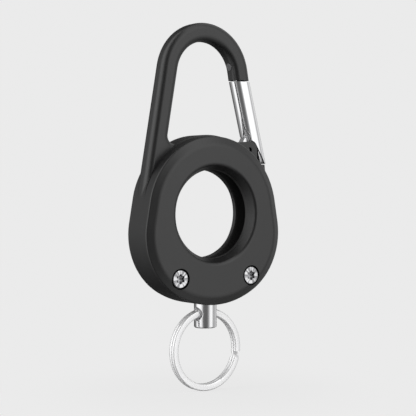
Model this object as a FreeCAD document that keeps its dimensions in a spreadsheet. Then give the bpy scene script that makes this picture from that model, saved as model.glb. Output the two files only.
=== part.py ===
import FreeCAD, Part
import math
import os
import re
import Sketcher

# A holder for a round tracker tag: a two-part moulded case with a round window in each face, a
# carabiner hook on top and a swivelling key ring below. Lengths are millimetres, angles are degrees.
# The front looks along -Y, +Z is up, and the origin is the middle of the window, halfway through.

doc = FreeCAD.newDocument("TagHolder")
sheet = doc.addObject("Spreadsheet::Sheet", "Sizes")

DRIVING_SIZES = {
    # Tag and its seat between the window lips
    "tag_radius": 15.95,
    "tag_play": 0.35,
    "tag_seat": 1.2,
    "lip_hold": 2.95,
    "lip_land": 1.1,
    "lip_flare": 1.5,
    "lip_depth": 2.4,
    "lip_blend": 1.15,
    # Case: wall round the tag, outline, thickness, bevelled rims
    "case_wall": 6.4,
    "corner_tuck": 2.9,
    "bottom_spread": 5.0,
    "chin": 3.9,
    "crown_rise": 0.65,
    "half_thickness": 5.9,
    "parting": 1.4,
    "bevel_depth": 1.0,
    "bevel_width": 2.5,
    "bevel_blend": 2.8,
    "rim_round": 0.5,
    # Hook bar
    "hook_rise": 17.9,
    "hook_radius": 15.6,
    "hook_width": 5.5,
    "hook_depth": 5.25,
    "hook_round": 1.85,
    "nose_drop": 0.7,
    "web_round": 2.2,
    "web_sink": 0.05,
    # Hinge fork and the shoulder that stops the gate
    "pivot_angle": 50.94,
    "pivot_stand": 1.9,
    "ear_radius": 2.75,
    "ear_turn": 70.0,
    "ear_fall": 5.0,
    "ear_root": 8.0,
    "fork_gap": 2.6,
    "fork_clear": 0.45,
    "shoulder_out": 5.6,
    "shoulder_drop": 4.4,
    "pin_radius": 0.75,
    "pin_recess": 0.65,
    "pin_edge": 0.2,
    # Gate
    "gate_set": 0.085,
    "gate_width": 6.0,
    "gate_depth": 5.15,
    "gate_round": 2.3,
    "gate_sheet": 0.6,
    "gate_top_gap": 0.4,
    "heel_gap": 0.25,
    "heel_slope": 12.0,
    "sleeve_clear": 0.25,
    "notch_rise": 1.0,
    "seam_width": 0.3,
    "seam_shift": 1.45,
    "seam_mouth": 2.0,
    "seam_mouth_height": 2.7,
    "cheek_radius": 2.4,
    "cheek_sheet": 0.5,
    "cheek_clear": 0.2,
    "cheek_rise": 2.5,
    "spring_sheet": 0.3,
    "spring_clear": 0.1,
    "spring_foot_out": 2.2,
    "spring_foot_drop": 0.9,
    "spring_bend_out": 1.6,
    "spring_bend_rise": 3.6,
    "spring_reach": 12.0,
    "spring_curl": 0.9,
    # Pin in the hook's nose
    "nose_pin_radius": 1.2,
    "nose_pin_length": 2.2,
    "nose_pin_angle": 18.5,
    "nose_pin_proud": 0.2,
    "nose_pin_edge": 0.15,
    # Screws and inserts
    "screw_angle": 55.49,
    "screw_stand": 6.03,
    "screw_radius": 1.25,
    "screw_tip_gap": 0.55,
    "screw_point": 0.4,
    "head_radius": 2.58,
    "head_height": 2.1,
    "head_edge": 0.25,
    "head_recess": 0.1,
    "head_gap": 0.45,
    "socket_core": 1.05,
    "socket_lobe": 0.38,
    "socket_depth": 1.1,
    "socket_point": 0.45,
    "insert_wall": 0.6,
    "insert_floor": 2.9,
    "insert_groove": 0.2,
    # Locating pegs and top tongue of the cover
    "peg_radius": 1.2,
    "peg_length": 2.0,
    "tongue_set": 2.7,
    "tongue_width": 6.0,
    "tongue_sheet": 1.3,
    "tongue_length": 3.0,
    "tongue_barb": 0.3,
    "tongue_catch": 1.0,
    # Swivel stem
    "stem_radius": 3.35,
    "stem_reach": 7.0,
    "stem_round": 0.5,
    "flange_lip": 0.95,
    "flange_height": 2.0,
    "flange_cover": 3.0,
    "eye_reach": 2.8,
    "eye_round": 0.25,
    # Split ring
    "ring_radius": 12.2,
    "ring_wire": 2.0,
    "ring_coil": 1.0,
    "ring_slit": 0.42,
    "ring_round": 0.4,
    "ring_hang": 1.5,
    "ring_play": 0.4,
    "ring_step_angle": 12.0,
    "ring_step_place": -18.0,
    "ring_lap": 3.3,
    # Fits
    "press_clear": 0.02,
    "running_clear": 0.06,
    "seat_clear": 0.15,
    "overrun": 1.0,
}

# Sizes and places that follow from the driving ones
FOLLOWING_SIZES = {
    "cavity_radius": "tag_radius + tag_play",
    "window_radius": "tag_radius - lip_hold",
    "top_radius": "cavity_radius + case_wall",
    "corner_radius": "top_radius - corner_tuck",
    "bottom_radius": "top_radius + bottom_spread",
    "bottom_drop": "top_radius + chin",
    "cover_depth": "half_thickness - parting",
    "crown_radius": "top_radius - crown_rise * sin(flank_lean)",
    "hook_middle": "hook_depth / 2 - parting",
    "hook_height": "top_radius + hook_rise",
    "flank_lean": "asin((top_radius - hook_radius) / hook_height)",
    "leg_reach": "top_radius - hook_width",
    "nose_height": "hook_height - nose_drop",
    "nose_inner": "(leg_reach - nose_height * sin(flank_lean)) / cos(flank_lean)",
    "nose_outer": "(top_radius - nose_height * sin(flank_lean)) / cos(flank_lean)",
    "pivot_right": "(top_radius + pivot_stand) * cos(pivot_angle)",
    "pivot_height": "(top_radius + pivot_stand) * sin(pivot_angle)",
    "fork_floor": "cheek_radius + fork_clear",
    "shoulder_right": "pivot_right + shoulder_out",
    "shoulder_height": "pivot_height - shoulder_drop",
    "gate_top": "nose_height - gate_top_gap",
    "gate_lean": "atan((pivot_right - nose_inner + gate_set) / (gate_top - pivot_height))",
    "gate_bottom": "shoulder_height + heel_gap",
    "sleeve_radius": "ear_radius + sleeve_clear",
    "notch_height": "sleeve_radius + notch_rise",
    "cheek_spread": "fork_gap - 2 * cheek_clear",
    "cheek_top": "notch_height + cheek_rise",
    "spring_strip": "cheek_spread - 2 * cheek_sheet - 2 * spring_clear",
    "screw_right": "(cavity_radius + screw_stand) * cos(screw_angle)",
    "screw_drop": "(cavity_radius + screw_stand) * sin(screw_angle)",
    "insert_radius": "screw_radius + insert_wall",
    "insert_length": "half_thickness + parting - insert_floor",
    "head_seat": "half_thickness - head_recess - head_height",
    "screw_length": "insert_length - parting + head_seat - screw_tip_gap",
    "peg_right": "cavity_radius + case_wall / 2",
    "tongue_rise": "cavity_radius + tongue_set",
    "flange_radius": "stem_radius + flange_lip",
    "flange_under": "bottom_drop - flange_cover",
    "flange_drop": "flange_under - flange_height",
    "eye_drop": "bottom_drop + eye_reach",
    "eye_radius": "ring_hang + ring_play",
    "stem_drop": "bottom_drop + stem_reach",
}

for row, (alias, size) in enumerate(DRIVING_SIZES.items(), start=1):
    sheet.set(f"A{row}", str(size))
    sheet.setAlias(f"A{row}", alias)
doc.recompute()


def tied(expression):
    """Spell an expression out in the sheet's own sizes."""

    def spell(word):
        name = word.group()
        if name in FOLLOWING_SIZES:
            return f"({tied(FOLLOWING_SIZES[name])})"
        return f"Sizes.{name}" if name in DRIVING_SIZES else name

    return re.sub("[a-z_]+", spell, expression)


def number(expression):
    """Work out an expression of the sheet's sizes as a plain number."""
    value = sheet.evalExpression(tied(expression))
    return float(getattr(value, "Value", value))


def new_body(name):
    body = doc.addObject("PartDesign::Body", name)
    body.Label = name
    return body


def place(piece, right="0", back="0", up="0"):
    """Tie a piece's position to the sheet."""
    for axis, expression in zip("xyz", (right, back, up)):
        piece.setExpression(f".Placement.Base.{axis}", tied(expression))


def turn(piece, axis, angle):
    """Turn a piece about its own origin by an angle tied to the sheet."""
    piece.Placement.Rotation = FreeCAD.Rotation(axis, number(angle))
    piece.setExpression(".Placement.Rotation.Angle", tied(angle))


def new_sketch(body, name, role, shift=None):
    """Start a sketch on one of the body's own planes, moved along the plane's normal."""
    sketch = body.newObject("Sketcher::SketchObject", name)
    plane = [item for item in body.Origin.OriginFeatures if item.Role == role][0]
    sketch.AttachmentSupport = [(plane, "")]
    sketch.MapMode = "FlatFace"
    if shift:
        sketch.setExpression(".AttachmentOffset.Base.z", tied(shift))
    return sketch


def bind(sketch, kind, where, expression):
    """Add a dimension to a sketch and tie it to the sheet."""
    index = sketch.addConstraint(Sketcher.Constraint(kind, *where, number(expression)))
    sketch.setExpression(f"Constraints[{index}]", tied(expression))


def pin_point(sketch, element, end, across, along):
    """Tie one end of a sketch element to a distance across and along from the sketch's origin."""
    bind(sketch, "DistanceX", (-1, 1, element, end), across)
    bind(sketch, "DistanceY", (-1, 1, element, end), along)


def add_circle(sketch, across, along, radius):
    centre = FreeCAD.Vector(number(across), number(along), 0)
    circle = Part.Circle(centre, FreeCAD.Vector(0, 0, 1), number(radius))
    element = sketch.addGeometry(circle, False)
    pin_point(sketch, element, 3, across, along)
    bind(sketch, "Radius", (element,), radius)


def arc_between(start, end, radius, bulge):
    """The short arc from start to end; a bulge of 1 turns left on the way, -1 turns right."""
    chord = end - start
    reach = math.sqrt(max(radius ** 2 - chord.Length ** 2 / 4, 0))
    side = FreeCAD.Vector(-chord.y, chord.x, 0).normalize() * (reach * bulge)
    centre = (start + end) * 0.5 + side
    first, last = (start, end) if bulge > 0 else (end, start)
    angles = [math.atan2(point.y - centre.y, point.x - centre.x) for point in (first, last)]
    circle = Part.Circle(centre, FreeCAD.Vector(0, 0, 1), radius)
    return Part.ArcOfCircle(circle, angles[0], angles[1])


def add_outline(sketch, corners):
    """Draw a closed outline. A corner is (across, along) where a straight side follows it, or
    (across, along, radius, bulge) where an arc does."""
    points = [FreeCAD.Vector(number(corner[0]), number(corner[1]), 0) for corner in corners]
    ends = []
    for index, corner in enumerate(corners):
        start = points[index]
        end = points[(index + 1) % len(points)]
        if len(corner) == 2:
            element = sketch.addGeometry(Part.LineSegment(start, end), False)
            ends.append((element, 1, 2))
        else:
            arc = arc_between(start, end, number(corner[2]), corner[3])
            element = sketch.addGeometry(arc, False)
            ends.append((element, 1, 2) if corner[3] > 0 else (element, 2, 1))
    for index, (element, head, tail) in enumerate(ends):
        follower, follower_head, _ = ends[(index + 1) % len(ends)]
        meet = (element, tail, follower, follower_head)
        sketch.addConstraint(Sketcher.Constraint("Coincident", *meet))
    for corner, (element, head, _) in zip(corners, ends):
        pin_point(sketch, element, head, corner[0], corner[1])
        if len(corner) > 2:
            bind(sketch, "Radius", (element,), corner[2])


def pad(body, sketch, length, reverse=False, both_ways=False):
    feature = body.newObject("PartDesign::Pad", sketch.Name + "_pad")
    feature.Profile = sketch
    feature.setExpression("Length", tied(length))
    feature.Reversed = reverse
    if both_ways:
        feature.SideType = "Symmetric"
    doc.recompute()
    return feature


def pocket(body, sketch, length=None, reverse=False, both_ways=False):
    """Cut a sketch into the body; with no length it goes right through. The cut has to bite."""
    before = body.Shape.Volume
    feature = body.newObject("PartDesign::Pocket", sketch.Name + "_pocket")
    feature.Profile = sketch
    feature.Reversed = reverse
    if both_ways:
        feature.SideType = "Symmetric"
    if length is None:
        feature.Type = "ThroughAll"
    else:
        feature.setExpression("Length", tied(length))
    doc.recompute()
    if body.Shape.Volume >= before:
        raise RuntimeError(f"{feature.Name} cuts nothing")
    return feature


def spin(body, sketch, kind):
    """Revolve a sketch about its own upright axis, as a Revolution or as a Groove."""
    before = body.Shape.Volume if kind == "Groove" else None
    feature = body.newObject("PartDesign::" + kind, sketch.Name + "_" + kind.lower())
    feature.Profile = sketch
    feature.ReferenceAxis = (sketch, ["V_Axis"])
    feature.Angle = 360
    doc.recompute()
    if kind == "Groove" and body.Shape.Volume >= before:
        raise RuntimeError(f"{feature.Name} cuts nothing")
    return feature


def edges_where(feature, test):
    return [f"Edge{index}" for index, edge in enumerate(feature.Shape.Edges, start=1) if test(edge)]


def middle_of(edge):
    first, last = edge.ParameterRange
    return edge.valueAt((first + last) / 2)


def round_edges(body, feature, name, test, radius):
    rounding = body.newObject("PartDesign::Fillet", name)
    rounding.Base = (feature, edges_where(feature, test))
    rounding.setExpression("Radius", tied(radius))
    doc.recompute()
    return rounding


# Case halves

def case_outline(body, name, rise):
    """The egg outline of the case at the parting: a round crown, raised by a rise, straight flanks that
    lean in, rounded lower corners and a shallow round bottom, each tangent to the next."""
    sketch = new_sketch(body, name, "XZ_Plane", "parting")
    up = FreeCAD.Vector(0, 0, 1)
    lean = math.radians(number("flank_lean"))
    outward = FreeCAD.Vector(math.cos(lean), math.sin(lean), 0)
    along = FreeCAD.Vector(-math.sin(lean), math.cos(lean), 0)
    top = number("top_radius")
    corner = number("corner_radius")
    bottom = number("bottom_radius")
    bottom_centre = FreeCAD.Vector(0, bottom - number("bottom_drop"), 0)
    offset = outward * (top - corner) - bottom_centre
    half = offset.dot(along)
    slide = -half - math.sqrt(half ** 2 - offset.dot(offset) + (bottom - corner) ** 2)
    centre = outward * (top - corner) + along * slide
    meet = math.atan2(centre.y - bottom_centre.y, centre.x - bottom_centre.x)
    crown = number(f"top_radius - {rise} * sin(flank_lean)")
    crown_centre = FreeCAD.Vector(0, number(rise), 0)
    flank_top = crown_centre + outward * crown
    flank_end = centre + outward * corner
    mirrored = FreeCAD.Vector(-centre.x, centre.y, 0)

    def flip(point):
        return FreeCAD.Vector(-point.x, point.y, 0)

    spans = [
        Part.ArcOfCircle(Part.Circle(crown_centre, up, crown), lean, math.pi - lean),
        Part.LineSegment(flip(flank_top), flip(flank_end)),
        Part.ArcOfCircle(Part.Circle(mirrored, up, corner), math.pi - lean, math.pi - meet),
        Part.ArcOfCircle(Part.Circle(bottom_centre, up, bottom), math.pi - meet, meet + 2 * math.pi),
        Part.ArcOfCircle(Part.Circle(centre, up, corner), meet, lean),
        Part.LineSegment(flank_end, flank_top),
    ]
    arc_top, left, corner_left, arc_bottom, corner_right, right = sketch.addGeometry(spans, False)
    chain = [arc_top, left, corner_left, arc_bottom, corner_right, right]
    for element, follower in zip(chain, chain[1:] + chain[:1]):
        sketch.addConstraint(Sketcher.Constraint("Tangent", element, 2, follower, 1))
    sketch.addConstraint(Sketcher.Constraint("PointOnObject", arc_top, 3, -2))
    sketch.addConstraint(Sketcher.Constraint("PointOnObject", arc_bottom, 3, -2))
    bind(sketch, "DistanceY", (-1, 1, arc_top, 3), rise)
    bind(sketch, "Radius", (arc_top,), f"top_radius - {rise} * sin(flank_lean)")
    bind(sketch, "Radius", (corner_left,), "corner_radius")
    bind(sketch, "Radius", (corner_right,), "corner_radius")
    bind(sketch, "Radius", (arc_bottom,), "bottom_radius")
    bind(sketch, "DistanceY", (-1, 1, arc_bottom, 3), "bottom_radius - bottom_drop")
    flank_across = f"(top_radius - {rise} * sin(flank_lean)) * cos(flank_lean)"
    bind(sketch, "DistanceX", (left, 1, -1, 1), flank_across)
    bind(sketch, "DistanceX", (-1, 1, right, 2), flank_across)
    return sketch


def bevel_rim(body, base, face_side):
    """Bevel the rim of a case half: wide across the face, shallow down the wall, softly blended."""
    face = number("half_thickness") * face_side
    wall = (number("half_thickness") - number("bevel_depth")) * face_side

    def on_face(edge):
        return all(abs(vertex.Y - face) < 1e-6 for vertex in edge.Vertexes)

    def on_wall(edge):
        return all(abs(vertex.Y - wall) < 1e-6 for vertex in edge.Vertexes)

    bevel = body.newObject("PartDesign::Chamfer", f"{body.Name}_bevel")
    bevel.Base = (base, edges_where(base, on_face))
    bevel.ChamferType = "Two distances"
    bevel.setExpression("Size", tied("bevel_depth"))
    bevel.setExpression("Size2", tied("bevel_width"))
    doc.recompute()
    soft = round_edges(body, bevel, f"{body.Name}_soft", on_face, "bevel_blend")
    return round_edges(body, soft, f"{body.Name}_rim", on_wall, "rim_round")


def cut_window(body):
    """Both window lips and the tag's seat between them, turned about the window's axis."""
    sketch = new_sketch(body, body.Name + "_window", "XY_Plane")
    land_end = "(half_thickness - lip_depth)"
    land_start = "(half_thickness - lip_depth - lip_land)"
    seat_end = "(half_thickness - lip_depth - lip_land - tag_seat)"
    mouth = "window_radius + lip_flare * (1 + overrun / lip_depth)"
    outside = "(half_thickness + overrun)"
    add_outline(sketch, [
        ("0", f"-{outside}"),
        (mouth, f"-{outside}"),
        ("window_radius", f"-{land_end}"),
        ("window_radius", f"-{land_start}"),
        ("cavity_radius", f"-{seat_end}"),
        ("cavity_radius", seat_end),
        ("window_radius", land_start),
        ("window_radius", land_end),
        (mouth, outside),
        ("0", outside),
    ])
    groove = spin(body, sketch, "Groove")
    mouth_radius = number("window_radius + lip_flare")
    face = number("half_thickness")

    def mouth_edge(edge):
        centre = middle_of(edge)
        reach = math.hypot(centre.x, centre.z)
        return abs(abs(centre.y) - face) < 1e-6 and abs(reach - mouth_radius) < 1e-6

    return round_edges(body, groove, body.Name + "_mouth", mouth_edge, "lip_blend")


def cut_stem_seat(body):
    """The bore for the stem's neck and the pocket for its flange, turned about the stem."""
    sketch = new_sketch(body, body.Name + "_stem_seat", "XZ_Plane")
    bore = "(stem_radius + seat_clear)"
    room = "(flange_radius + seat_clear)"
    add_outline(sketch, [
        ("0", "-(bottom_drop + overrun)"),
        (bore, "-(bottom_drop + overrun)"),
        (bore, "-(flange_under + seat_clear)"),
        (room, "-(flange_under + seat_clear)"),
        (room, "-(flange_drop - seat_clear)"),
        ("0", "-(flange_drop - seat_clear)"),
    ])
    return spin(body, sketch, "Groove")


def flank_point(reach, up_along, side=1):
    """A point beside a flank: its reach outward from the window's axis and its way up the flank."""
    across = f"(({reach}) * cos(flank_lean) - ({up_along}) * sin(flank_lean))"
    along = f"(({reach}) * sin(flank_lean) + ({up_along}) * cos(flank_lean))"
    return (across if side > 0 else f"-{across}", along)


def arc_point(centre_across, centre_along, radius, angle):
    """A point on a circle at an angle from the right."""
    across = f"({centre_across} + ({radius}) * cos({angle}))"
    along = f"({centre_along} + ({radius}) * sin({angle}))"
    return (across, along)


def add_hook(body):
    """The hook bar: up the left flank, over the top and down to the nose, with a rounded web at its
    root and softened edges. It starts inside the case, which is fused over its root."""
    sketch = new_sketch(body, "hook_path", "XZ_Plane", "parting")
    inner = "(hook_radius - hook_width)"
    rise = "(hook_height * cos(flank_lean))"
    web_out = "(leg_reach - web_round - crown_rise * sin(flank_lean))"
    web_reach = "(crown_radius - web_sink + web_round)"
    web_rise = f"(crown_rise * cos(flank_lean) + sqrt({web_reach} ^ 2 - {web_out} ^ 2))"
    web_across, web_along = flank_point("leg_reach - web_round", web_rise, -1)
    share = f"(crown_radius - web_sink) / {web_reach}"
    add_outline(sketch, [
        flank_point("top_radius", "0", -1),
        flank_point("top_radius", rise, -1) + ("hook_radius", -1),
        flank_point("top_radius", rise, 1),
        ("nose_outer", "nose_height"),
        ("nose_inner", "nose_height"),
        flank_point("leg_reach", rise, 1) + (inner, 1),
        flank_point("leg_reach", rise, -1),
        flank_point("leg_reach", web_rise, -1) + ("web_round", 1),
        (f"{web_across} * {share}", f"crown_rise + ({web_along} - crown_rise) * {share}"),
        flank_point("leg_reach", "0", -1),
    ])
    bar = pad(body, sketch, "hook_depth", reverse=True)
    faces = (-number("parting"), number("hook_depth - parting"))
    crown = number("crown_rise")
    crown_reach = number("crown_radius - web_sink")
    nose = number("nose_height")

    def outer_edge(edge):
        centre = middle_of(edge)
        flat = any(all(abs(vertex.Y - face) < 1e-6 for vertex in edge.Vertexes) for face in faces)
        at_nose = all(abs(vertex.Z - nose) < 1e-6 for vertex in edge.Vertexes)
        return flat and not at_nose and math.hypot(centre.x, centre.z - crown) > crown_reach

    return round_edges(body, bar, "hook_edges", outer_edge, "hook_round")


def add_hinge_block(body):
    """The block on the right of the case: the rounded ears above and the shoulder below."""
    sketch = new_sketch(body, "hinge_block", "XZ_Plane", "parting")
    ear_across, ear_along = arc_point("pivot_right", "pivot_height", "ear_radius", "ear_turn")
    root_across = f"{ear_across} - ear_root * cos(ear_fall)"
    root_along = f"{ear_along} - ear_root * sin(ear_fall)"
    add_outline(sketch, [
        ("pivot_right + ear_radius", "pivot_height", "ear_radius", 1),
        (ear_across, ear_along),
        (root_across, root_along),
        flank_point("leg_reach", "0", 1),
        flank_point("top_radius", "0", 1),
        ("shoulder_right", "shoulder_height"),
        ("pivot_right + ear_radius", "shoulder_height"),
    ])
    return pad(body, sketch, "hook_depth", reverse=True)


def cut_hinge(body):
    """The fork's slot for the gate's cheeks, and the pin bore through both ears."""
    sketch = new_sketch(body, "fork_slot", "XZ_Plane", "fork_gap / 2 - hook_middle")
    add_outline(sketch, [
        ("pivot_right - fork_floor", "pivot_height", "fork_floor", 1),
        arc_point("pivot_right", "pivot_height", "fork_floor", "-70"),
        ("pivot_right + ear_radius", "shoulder_height"),
        ("shoulder_right + ear_radius", "shoulder_height"),
        ("shoulder_right + ear_radius", "pivot_height + 2 * fork_floor"),
        ("pivot_right - 2 * fork_floor", "pivot_height + 2 * fork_floor"),
    ])
    pocket(body, sketch, "fork_gap")
    bore = new_sketch(body, "pin_bore", "XZ_Plane", "parting")
    add_circle(bore, "pivot_right", "pivot_height", "pin_radius + press_clear")
    return pocket(body, bore, "hook_depth")


def cut_nose_bore(body):
    """The blind bore for the pin in the nose, drilled outward from the middle of the hook's arc."""
    bore = new_sketch(body, "nose_bore", "XY_Plane", "hook_height")
    bore.AttachmentOffset.Rotation = FreeCAD.Rotation(FreeCAD.Vector(0, 1, 0), 90)
    bore.setExpression(".AttachmentOffset.Base.y", tied("hook_middle"))
    bore.setExpression(".AttachmentOffset.Rotation.Angle", tied("90 - nose_pin_angle"))
    add_circle(bore, "0", "0", "nose_pin_radius + press_clear")
    depth = "hook_radius - hook_width - nose_pin_proud + nose_pin_length"
    return pocket(body, bore, depth, reverse=True)


def cut_stem_entry(body):
    """The open channel through which the stem is laid into the rear half."""
    sketch = new_sketch(body, "stem_entry", "XZ_Plane", "parting")
    bore = "(stem_radius + seat_clear)"
    room = "(flange_radius + seat_clear)"
    low = "-(bottom_drop + overrun)"
    under = "-(flange_under + seat_clear)"
    top = "-(flange_drop - seat_clear)"
    add_outline(sketch, [
        (f"-{bore}", low),
        (bore, low),
        (bore, under),
        (room, under),
        (room, top),
        (f"-{room}", top),
        (f"-{room}", under),
        (f"-{bore}", under),
    ])
    return pocket(body, sketch, "parting")


def tongue_profile(body, name, grow):
    """Side view of the cover's top tongue and its barb, grown by a clearance for its slot."""
    sketch = new_sketch(body, name, "YZ_Plane")
    tip = f"(tongue_length - parting + {grow})"
    barb_start = f"(tongue_length - parting - tongue_catch - {grow})"
    barb_top = f"(tongue_rise + tongue_sheet + tongue_barb + {grow})"
    sheet_top = f"(tongue_rise + tongue_sheet + {grow})"
    root = "-(parting + overrun)"
    add_outline(sketch, [
        (root, f"tongue_rise - {grow}"),
        (tip, f"tongue_rise - {grow}"),
        (tip, barb_top),
        (barb_start, barb_top),
        (barb_start, sheet_top),
        (root, sheet_top),
    ])
    return sketch


def build_rear_shell():
    """Rear half of the case with the hook bar, the hinge fork and the gate's shoulder in one piece."""
    body = new_body("rear_shell")
    add_hook(body)
    add_hinge_block(body)
    outline = case_outline(body, "rear_outline", "crown_rise")
    case = pad(body, outline, "half_thickness + parting", reverse=True)
    bevel_rim(body, case, 1)
    cut_window(body)
    cut_stem_seat(body)
    cut_stem_entry(body)
    cut_hinge(body)
    cut_nose_bore(body)
    inserts = new_sketch(body, "insert_bores", "XZ_Plane", "parting")
    for side in ("", "-"):
        add_circle(inserts, f"{side}screw_right", "-screw_drop", "insert_radius + press_clear")
    pocket(body, inserts, "insert_length + seat_clear")
    sockets = new_sketch(body, "peg_sockets", "XZ_Plane", "parting")
    for side in ("", "-"):
        add_circle(sockets, f"{side}peg_right", "0", "peg_radius + running_clear")
    pocket(body, sockets, "peg_length + seat_clear")
    slot = tongue_profile(body, "tongue_slot", "seat_clear")
    pocket(body, slot, "tongue_width + 2 * seat_clear", both_ways=True)
    return body


def build_front_cover():
    """Front half of the case, with pegs and a barbed tongue that find the rear half."""
    body = new_body("front_cover")
    outline = case_outline(body, "cover_outline", "0")
    case = pad(body, outline, "cover_depth")
    bevel_rim(body, case, -1)
    cut_window(body)
    cut_stem_seat(body)
    heads = new_sketch(body, "head_counterbores", "XZ_Plane", "half_thickness")
    for side in ("", "-"):
        add_circle(heads, f"{side}screw_right", "-screw_drop", "head_radius + head_gap")
    pocket(body, heads, "head_recess + head_height")
    shanks = new_sketch(body, "shank_holes", "XZ_Plane", "half_thickness")
    for side in ("", "-"):
        add_circle(shanks, f"{side}screw_right", "-screw_drop", "screw_radius + seat_clear")
    pocket(body, shanks, "cover_depth")
    pegs = new_sketch(body, "pegs", "XZ_Plane", "parting")
    for side in ("", "-"):
        add_circle(pegs, f"{side}peg_right", "0", "peg_radius")
    pad(body, pegs, "peg_length", reverse=True)
    tongue = tongue_profile(body, "tongue", "0")
    pad(body, tongue, "tongue_width", both_ways=True)
    return body


# Gate and what it swings on

def at_pivot(body):
    """Put a body's origin on the gate's pivot and lean it with the closed gate."""
    turn(body, FreeCAD.Vector(0, -1, 0), "gate_lean")
    place(body, "pivot_right", "hook_middle", "pivot_height")


def level_at(height, across):
    """How far up the leaning gate a level height is met, at a distance across the gate."""
    return f"((({height}) - pivot_height - ({across}) * sin(gate_lean)) / cos(gate_lean))"


def rounded_tube(sketch, inset):
    """The gate's rounded section, drawn inside itself by an inset."""
    near = f"({inset})"
    far = f"(gate_width - {inset})"
    half = f"(gate_depth / 2 - {inset})"
    round_off = f"(gate_round - {inset})"
    near_in = f"({near} + {round_off})"
    far_in = f"({far} - {round_off})"
    half_in = f"({half} - {round_off})"
    add_outline(sketch, [
        (near_in, f"-{half}"),
        (far_in, f"-{half}", round_off, 1),
        (far, f"-{half_in}"),
        (far, half_in, round_off, 1),
        (far_in, half),
        (near_in, half, round_off, 1),
        (near, half_in),
        (near, f"-{half_in}", round_off, 1),
    ])


def build_gate():
    """Rolled-sheet gate: a rounded tube with its seam on the inner side, cut away round the ears, with
    two cheeks and a web between them that run in the fork, and a heel that stops on the shoulder."""
    body = new_body("gate")
    base = f"({level_at('gate_bottom', 'gate_width')} - overrun)"
    tube = new_sketch(body, "tube", "XY_Plane", base)
    rounded_tube(tube, "0")
    rounded_tube(tube, "gate_sheet")
    pad(body, tube, f"{level_at('gate_top', '0')} - {base} + overrun")
    cap = new_sketch(body, "top_cut", "XZ_Plane")
    beyond = "(gate_width + overrun)"
    above = f"({level_at('gate_top', '0')} + 2 * overrun)"
    add_outline(cap, [
        ("-overrun", level_at("gate_top", "-overrun")),
        (beyond, level_at("gate_top", beyond)),
        (beyond, above),
        ("-overrun", above),
    ])
    pocket(body, cap, "2 * gate_depth", both_ways=True)
    notch = "(gate_sheet + seat_clear)"
    heel = "(gate_width - 2 * gate_sheet)"
    below = f"({base} - overrun)"
    foot = new_sketch(body, "foot_cut", "XZ_Plane")
    add_outline(foot, [
        ("-overrun", "notch_height"),
        (notch, "notch_height"),
        (notch, f"sqrt(sleeve_radius ^ 2 - {notch} ^ 2)", "sleeve_radius", -1),
        arc_point("0", "0", "sleeve_radius", "heel_slope"),
        (heel, level_at("gate_bottom", heel)),
        (beyond, level_at("gate_bottom", beyond)),
        (beyond, below),
        ("-overrun", below),
    ])
    pocket(body, foot, "2 * gate_depth", both_ways=True)
    seam = new_sketch(body, "seam", "YZ_Plane")
    mouth_top = "(notch_height + seam_mouth_height)"
    add_outline(seam, [
        ("-seam_shift - seam_mouth / 2", "notch_height - overrun"),
        ("-seam_shift + seam_mouth / 2", "notch_height - overrun"),
        ("-seam_shift + seam_width / 2", mouth_top),
        ("-seam_shift + seam_width / 2", above),
        ("-seam_shift - seam_width / 2", above),
        ("-seam_shift - seam_width / 2", mouth_top),
    ])
    pocket(body, seam, "gate_round", reverse=True)
    wall = "(gate_width - gate_sheet / 2)"
    corner = "((notch_height - cheek_sheet) / 2)"
    for side in (1, -1):
        shift = "cheek_spread / 2" if side > 0 else "-cheek_spread / 2"
        cheek = new_sketch(body, f"cheek_{'front' if side > 0 else 'rear'}", "XZ_Plane", shift)
        add_outline(cheek, [
            ("0", "-cheek_radius", "cheek_radius", 1),
            ("cheek_radius", "0"),
            ("cheek_radius", "notch_height"),
            (wall, "notch_height"),
            (wall, "cheek_top"),
            (notch, "cheek_top"),
            (notch, f"2 * {corner} + {notch}"),
            (f"-{corner}", corner),
            ("-cheek_radius", "0", "cheek_radius", 1),
        ])
        pad(body, cheek, "cheek_sheet", reverse=side > 0)
    web = new_sketch(body, "cheek_web", "XZ_Plane")
    slant = "sqrt(2) * cheek_sheet"
    add_outline(web, [
        (f"{notch} + cheek_sheet", "cheek_top"),
        (notch, "cheek_top"),
        (notch, f"2 * {corner} + {notch}"),
        (f"-{corner}", corner),
        (f"{slant} - {corner}", corner),
        (f"{notch} + cheek_sheet", f"2 * {corner} + {notch} + cheek_sheet - {slant}"),
    ])
    pad(body, web, "cheek_spread", both_ways=True)
    eye = new_sketch(body, "pivot_eye", "XZ_Plane")
    add_circle(eye, "0", "0", "pin_radius + running_clear")
    pocket(body, eye, "2 * gate_depth", both_ways=True)
    at_pivot(body)
    return body


def build_gate_spring():
    """Folded strip spring between the cheeks: its foot rests in the fork, its tip lifts the gate."""
    body = new_body("gate_spring")
    sketch = new_sketch(body, "strip_side", "XZ_Plane")
    half = number("spring_sheet / 2")
    wall = "(gate_width - gate_sheet - spring_sheet)"
    bends = [
        ("-spring_foot_out", "-spring_foot_drop"),
        ("spring_bend_out", "spring_bend_rise"),
        (wall, "spring_reach"),
        (f"{wall} - spring_sheet", "spring_reach + spring_curl"),
    ]
    path = [FreeCAD.Vector(number(across), number(along), 0) for across, along in bends]
    left = []
    right = []
    for index, point in enumerate(path):
        before = (point - path[index - 1]).normalize() if index else None
        after = (path[index + 1] - point).normalize() if index + 1 < len(path) else None
        way = ((before or after) + (after or before)).normalize()
        stretch = half / way.dot(after or before)
        side = FreeCAD.Vector(-way.y, way.x, 0) * stretch
        left.append(point + side)
        right.append(point - side)
    ring = right + left[::-1]
    add_outline(sketch, [(str(point.x), str(point.y)) for point in ring])
    pad(body, sketch, "spring_strip", both_ways=True)
    at_pivot(body)
    return body


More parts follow.
